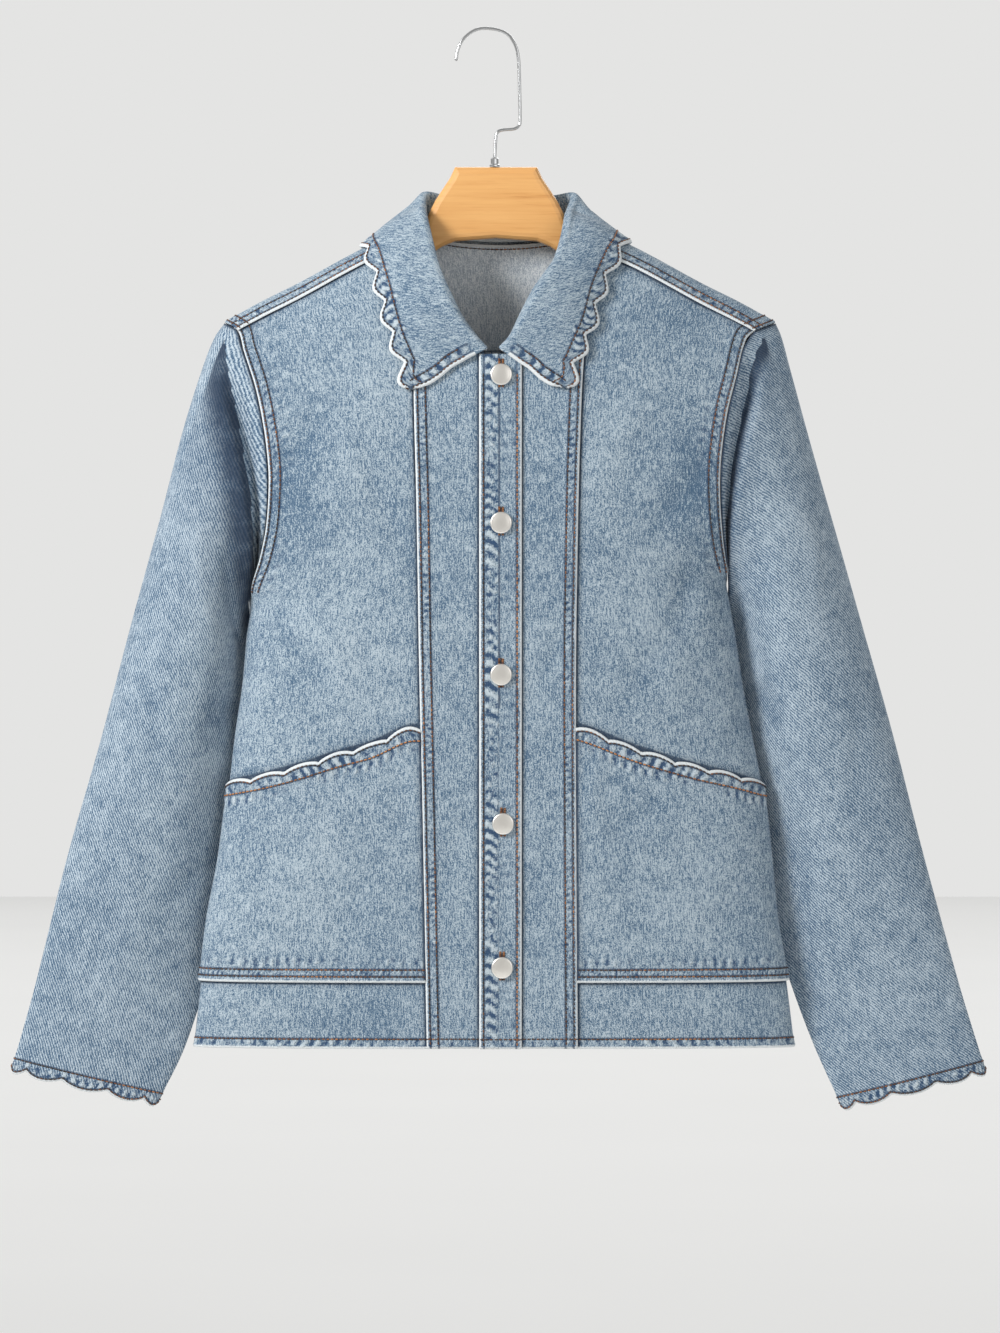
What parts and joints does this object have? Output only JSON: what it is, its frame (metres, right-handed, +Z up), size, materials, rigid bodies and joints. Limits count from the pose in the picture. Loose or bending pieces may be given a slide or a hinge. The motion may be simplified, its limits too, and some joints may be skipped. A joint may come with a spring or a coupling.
{
  "type": "denim jacket on a hanger",
  "caption": "Light-wash denim jacket with a pointed collar, scalloped edges and slanted patch pockets, buttoned up on a wooden hanger with a wire hook.",
  "frame": {"origin": "inside of the crown of the hanger's hook, where a rail carries it", "axes": "+X to the right seen from the front, -Y out of the front, +Z up"},
  "size_m": [0.7594, 0.0943, 0.8451],
  "materials": {
    "denim": "light-wash blue denim twill",
    "button_metal": "satin nickel",
    "hanger_wood": "satin varnish",
    "hook_wire": "bright plated wire"
  },
  "bodies": {
    "root": {"front_panel_left": "denim", "front_strip_left": "denim", "hem_band_left": "denim", "pocket_left": "denim", "sleeve_left": "denim", "front_panel_right": "denim", "front_strip_right": "denim", "hem_band_right": "denim", "pocket_right": "denim", "sleeve_right": "denim", "back_panel": "denim", "hem_band_back": "denim", "yoke": "denim", "collar": "denim", "placket_top": "denim", "placket_under": "denim", "button_1": "button_metal", "button_2": "button_metal", "button_3": "button_metal", "button_4": "button_metal", "button_5": "button_metal", "hanger_body": "hanger_wood", "hanger_hook": "hook_wire", "hook_ferrule": "hook_wire"}
  },
  "joints": []
}
